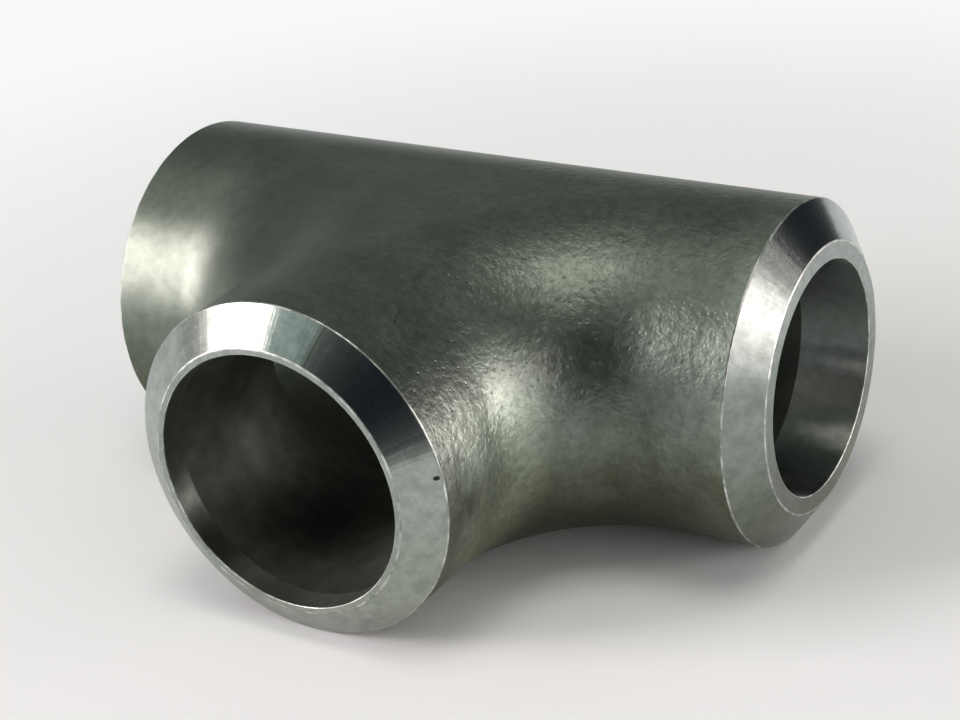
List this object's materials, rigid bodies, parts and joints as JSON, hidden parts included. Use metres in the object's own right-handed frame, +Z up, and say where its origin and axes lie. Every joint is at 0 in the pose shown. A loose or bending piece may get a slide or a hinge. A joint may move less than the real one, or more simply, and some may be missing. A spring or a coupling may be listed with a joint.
{
  "type": "butt weld tee",
  "caption": "Equal butt weld pipe tee: a straight run with one branch at right angles, thick walls, generous crotch radii and a welding bevel on each end.",
  "frame": {"origin": "where the centre lines of the run and the branch cross", "axes": "+X along the run, -Y along the branch to its end, +Z up with both centre lines level"},
  "size_m": [0.093, 0.0676, 0.0422],
  "materials": {
    "pickled_steel": "blasted and pickled satin grey skin, bright turned bevels and bores"
  },
  "bodies": {
    "root": {"weld_tee": "pickled_steel"}
  },
  "joints": []
}
